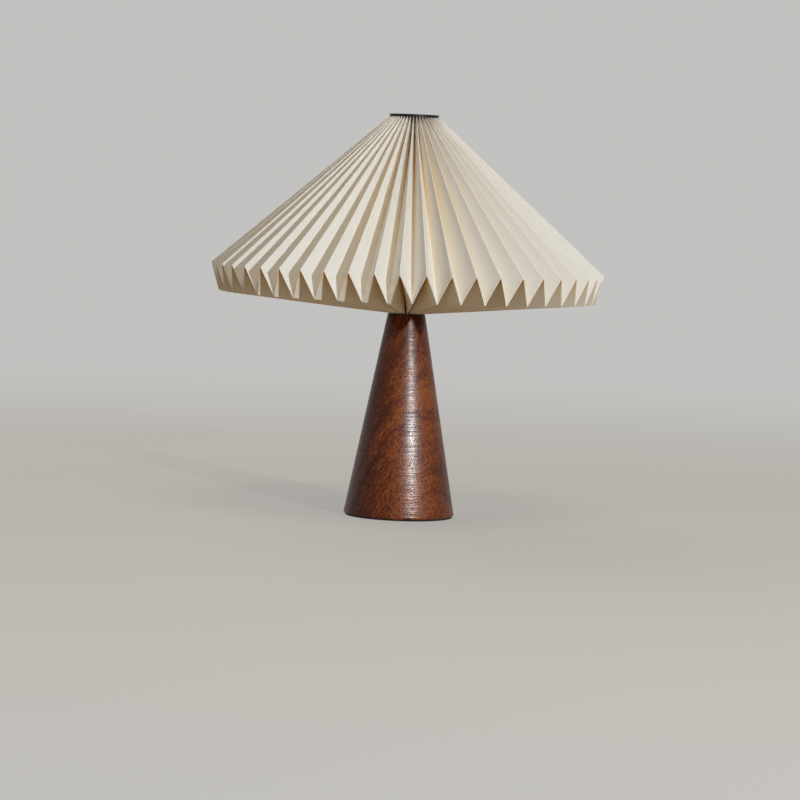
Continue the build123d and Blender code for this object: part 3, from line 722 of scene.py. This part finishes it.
def room():
    """World: light that is weaker from below, with the backdrop's colour where it is seen directly."""
    world = bpy.data.worlds.new("room")
    world.use_nodes = True
    tree = world.node_tree
    light = tree.nodes["Background"]
    level = coordinate(tree, add(tree, "TexCoord").outputs["Generated"], "Z")
    share = spread(tree, level, 0.0, 1.0, ROOM_LEVELS)
    tree.links.new(mix(tree, share, ROOM_LIGHT_LOW, ROOM_LIGHT), light.inputs["Color"])
    shown = add(tree, "Background", {"Color": rgba(BACKDROP_COLOUR)})
    blend = add(tree, "MixShader", {0: seen_directly(tree), 1: light.outputs[0], 2: shown.outputs[0]})
    tree.links.new(blend.outputs[0], tree.nodes["World Output"].inputs["Surface"])
    scene.world = world


def lamp(name, azimuth, elevation, distance, size, power, colour):
    """Square lamp that faces the object, at an angle to the right of the front and above the floor."""
    towards = Vector((math.sin(azimuth) * math.cos(elevation), -math.cos(azimuth) * math.cos(elevation),
                      math.sin(elevation)))
    data = bpy.data.lights.new(name, "AREA")
    data.size = size
    data.energy = power
    data.color = colour
    piece = bpy.data.objects.new(name, data)
    piece.location = LIGHT_TARGET + towards * distance
    piece.rotation_euler = towards.to_track_quat("Z", "Y").to_euler()
    scene.collection.objects.link(piece)


def camera():
    """Camera in front of the lamp, pitched down and rolled as the photo is."""
    data = bpy.data.cameras.new("camera")
    data.sensor_width = SENSOR_WIDTH
    data.lens = FOCAL_PIXELS * SENSOR_WIDTH / PICTURE_PIXELS
    data.clip_end = CAMERA_FAR_CLIP
    right = Vector((math.cos(CAMERA_AZIMUTH), math.sin(CAMERA_AZIMUTH), 0.0))
    ahead = Vector((-math.sin(CAMERA_AZIMUTH) * math.cos(CAMERA_PITCH),
                    math.cos(CAMERA_AZIMUTH) * math.cos(CAMERA_PITCH), -math.sin(CAMERA_PITCH)))
    above = right.cross(ahead)
    place = Vector((CAMERA_DISTANCE * math.sin(CAMERA_AZIMUTH), -CAMERA_DISTANCE * math.cos(CAMERA_AZIMUTH),
                    CAMERA_HEIGHT)) + right * CAMERA_SIDE
    sideways = right * math.cos(CAMERA_ROLL) + above * math.sin(CAMERA_ROLL)
    upwards = above * math.cos(CAMERA_ROLL) - right * math.sin(CAMERA_ROLL)
    piece = bpy.data.objects.new("camera", data)
    turned = Matrix((sideways, upwards, -ahead)).transposed().to_4x4()
    piece.matrix_world = Matrix.Translation(place) @ turned
    scene.collection.objects.link(piece)
    scene.camera = piece


floor()
room()
lamp("key", KEY_AZIMUTH, KEY_ELEVATION, KEY_DISTANCE, KEY_SIZE, KEY_POWER, KEY_COLOUR)
lamp("fill", FILL_AZIMUTH, FILL_ELEVATION, FILL_DISTANCE, FILL_SIZE, FILL_POWER, FILL_COLOUR)
lamp("back", BACK_AZIMUTH, BACK_ELEVATION, BACK_DISTANCE, BACK_SIZE, BACK_POWER, BACK_COLOUR)
camera()
